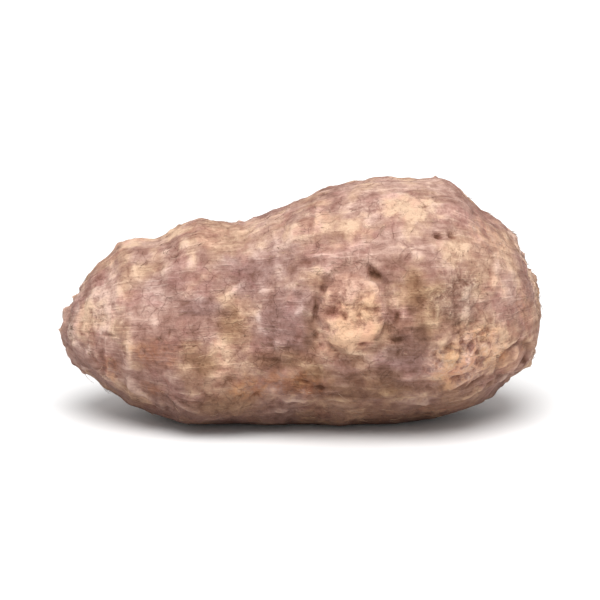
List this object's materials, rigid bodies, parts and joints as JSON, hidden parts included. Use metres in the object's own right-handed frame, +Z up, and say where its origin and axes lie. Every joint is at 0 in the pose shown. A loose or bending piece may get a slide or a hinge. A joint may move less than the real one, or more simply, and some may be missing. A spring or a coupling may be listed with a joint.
{
  "type": "taro corm",
  "caption": "Small taro corm with its skin on: a blunt, ringed, knobbly tuber lying on its side, with bud scars and a growing tip.",
  "frame": {"origin": "on the surface that the corm rests on, under the middle of its bounding box", "axes": "+X along the corm, from the end that grew on the mother corm to the growing tip; +Z up; the large bud scar faces -Y"},
  "size_m": [0.0845, 0.0424, 0.0433],
  "materials": {
    "skin": "dry, matte, mottled brown skin with paler rings and bud scars"
  },
  "bodies": {
    "root": {"taro": "skin"}
  },
  "joints": []
}
